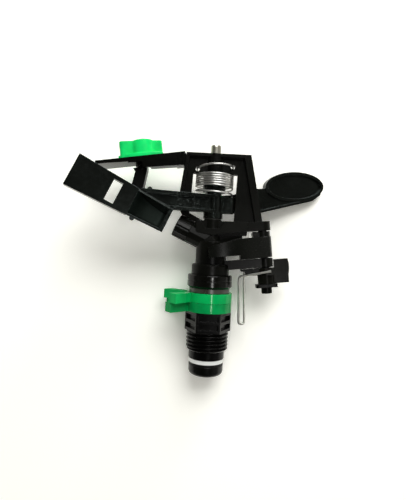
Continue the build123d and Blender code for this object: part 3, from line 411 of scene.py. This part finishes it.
# Diffuser blade: the black post that the knob lowers towards the jet to break it up.
# It is moulded in nylon, and its spindle is screwed into the knob's stem.
blade_black = moulded("blade_black", (0.0018, 0.0018, 0.0015), rubbed_black, roughness=0.3)
dress(blade_black, "diffuser_blade")

# Trip pin and clip: the black pivot of the reversing gear, pushed through the body's lugs,
# and the cross bar that snaps on its foot and holds it. Both are matt nylon mouldings.
trip_black = moulded("trip_black", (0.0016, 0.0017, 0.0012), rubbed_black, roughness=0.3, gloss=0.06)
dress(trip_black, "trip_pin", "pin_clip")

# Trip lever: the black lever with its finger flag, moulded in one and turning on the trip pin.
# The stop collars push it over through the wire that it holds.
lever_black = moulded("lever_black", (0.0045, 0.0047, 0.0034), rubbed_black, roughness=0.3, gloss=0.05)
dress(lever_black, "trip_lever")

# Trip wire: a hairpin of stainless wire, bent cold and held in the trip lever.
# It hangs beside the collars and feels for their ears.
trip_steel = wire_steel("trip_steel", (0.68, 0.68, 0.63), roughness=0.34)
dress(trip_steel, "trip_wire")

# Reversing lever: the thick curved lever in front of the barrel, which kicks the arm back.
# It is a satin black moulding that turns on the trip pin above the bracket.
reverser_black = moulded("reverser_black", (0.003, 0.0034, 0.0025), rubbed_black, roughness=0.26, gloss=0.16)
dress(reverser_black, "reversing_lever")

# Toggle spring: six turns of fine stainless wire behind the bracket, with straight ends
# that reach down to the trip lever and up to the reversing lever. It snaps them over.
toggle_wire = 0.5
toggle_pivot = (27.5, 33.02)
toggle_tilt = math.radians(7.0)
toggle_turns = 6
toggle_radius = 1.6
toggle_across, toggle_depth = -5.0, 5.6
toggle_start, toggle_end = 2.85, 8.55
toggle_steps = toggle_turns * knots_per_turn
toggle_side = toggle_across + toggle_radius
toggle_runs = [(toggle_side, 4.8, -2.15), (toggle_side, 4.8, -0.6), (toggle_side, 4.8, 1.0),
               (toggle_side, 4.95, 2.2)]
for step in range(toggle_steps + 1):
    angle = math.radians(360.0 / knots_per_turn * step)
    along = toggle_start + (toggle_end - toggle_start) * step / toggle_steps
    toggle_runs.append((toggle_across + toggle_radius * math.cos(angle),
                        toggle_depth + toggle_radius * math.sin(angle), along))
toggle_runs += [(toggle_side, 6.25, 9.2), (toggle_side, 6.4, 10.4), (toggle_side, 6.4, 12.0),
                (toggle_side, 6.4, 13.55)]
toggle_knots = []
for across, depth, along in toggle_runs:
    right = across * math.cos(toggle_tilt) - along * math.sin(toggle_tilt)
    up = across * math.sin(toggle_tilt) + along * math.cos(toggle_tilt)
    toggle_knots.append((toggle_pivot[0] + right, depth, toggle_pivot[1] + up))
wound_wire("toggle_spring_wound", toggle_wire, toggle_knots, spring_steel, "head")

# Table and light: a white table behind the sprinkler, a soft window light from the upper right, a weaker one
# from above, a narrow lamp that only gloss shows, a fill from behind and a weak dome. The table's paper is
# brighter to the eye and in reflections than in the light that it throws back.
table_lean = 0.115
table_gap = 0.0002
table_size = 3.0
table_y = table_gap + max(point.co.y - table_lean * point.co.z
                          for node in nodes.values() for point in node.data.vertices)
bpy.ops.object.select_all(action="DESELECT")
bpy.ops.mesh.primitive_plane_add(size=table_size, location=(0.0, table_y, 0.0),
                                 rotation=(math.radians(90.0) - math.atan(table_lean), 0.0, 0.0))
table = bpy.context.object
table.name = "table"
bpy.ops.object.transform_apply(location=True, rotation=True, scale=True)
table_white, place = new_finish("table_white")
feed(place, Base_Color=(0.95, 0.945, 0.87, 1.0), Roughness=0.9, Specular_IOR_Level=0.1)
paper = Shade(place.tree, place.tree.nodes["Principled BSDF"].outputs[0])
brighter = place.node("ShaderNodeBsdfDiffuse", {}, {"Color": (0.33, 0.33, 0.34, 1.0)})
lit = place.node("ShaderNodeAddShader", {}, {0: paper, 1: brighter})
looked_at = place.node("ShaderNodeLightPath", outlet="Is Camera Ray")
mirrored = place.node("ShaderNodeLightPath", outlet="Is Glossy Ray")
through = place.node("ShaderNodeLightPath", outlet="Is Transmission Ray")
front = place.node("ShaderNodeMixShader", {}, {0: looked_at + mirrored + through, 1: paper, 2: lit})
behind = place.node("ShaderNodeNewGeometry", outlet="Backfacing")
clear = place.node("ShaderNodeBsdfTransparent")
seen = place.node("ShaderNodeMixShader", {}, {0: behind, 1: front, 2: clear})
place.tree.links.new(seen.socket, place.tree.nodes["Material Output"].inputs["Surface"])
table.data.materials.append(table_white)
table.visible_shadow = False
lamp_aim = Vector((0.0, 0.0, 0.04))


def lamp(name, spot, size, power, colour=(1.0, 1.0, 1.0)):
    """A soft rectangular lamp at a spot, turned to the sprinkler."""
    data = bpy.data.lights.new(name, "AREA")
    data.shape = "RECTANGLE"
    data.size, data.size_y = size
    data.energy = power
    data.color = colour
    piece = bpy.data.objects.new(name, data)
    bpy.context.scene.collection.objects.link(piece)
    piece.location = spot
    piece.rotation_euler = (lamp_aim - Vector(spot)).to_track_quat("-Z", "Y").to_euler()
    return piece


near_lamp = lamp("near_lamp", (0.13, -0.58, -0.04), size=(0.045, 0.1), power=0.5, colour=(1.0, 0.99, 0.97))
near_lamp.visible_diffuse = False
lamp("top_light", (0.25, -0.1, 0.72), size=(0.4, 0.2), power=1.8)
lamp("window_light", (0.16, -0.56, 0.6), size=(0.6, 0.42), power=4.3, colour=(1.0, 1.0, 0.99))
lamp("back_fill", (0.2, 1.0, 0.5), size=(1.2, 1.2), power=4.0)
world = bpy.data.worlds.new("room")
bpy.context.scene.world = world
world.use_nodes = True
room = world.node_tree
looked_at = Shade(room, room.nodes.new("ShaderNodeLightPath").outputs["Is Camera Ray"])
mirrored = looked_at.node("ShaderNodeLightPath", outlet="Is Glossy Ray")
through = looked_at.node("ShaderNodeLightPath", outlet="Is Transmission Ray")
toward = looked_at.node("ShaderNodeTexCoord", outlet="Generated")
ahead = looked_at.node("ShaderNodeSeparateXYZ", {}, {0: toward}, outlet="Y")
beyond = ahead.ramp(0.1, 0.3)
aside = (ahead * 0.5 + 0.5).ramp(0.1, 0.26)
across = looked_at.node("ShaderNodeSeparateXYZ", {}, {0: toward}, outlet="X")
right = (across * 0.5 + 0.5).ramp(0.45, 0.75)
dim = room.nodes["Background"]
dim.inputs["Color"].default_value = (1.0, 0.985, 0.94, 1.0)
dome_light = 0.45
dome_mirrored = aside * (right * 0.22 + 0.1) + 0.03
dome = (1.0 - mirrored) * dome_light + mirrored * dome_mirrored
room.links.new(dome.socket, dim.inputs["Strength"])
bright = looked_at.node("ShaderNodeBackground", {}, {"Color": (1.0, 1.0, 1.0, 1.0), "Strength": 1.0})
white_seen = looked_at + (mirrored + through) * beyond
both = looked_at.node("ShaderNodeMixShader", {}, {0: white_seen, 1: Shade(room, dim.outputs[0]), 2: bright})
room.links.new(both.socket, room.nodes["World Output"].inputs["Surface"])
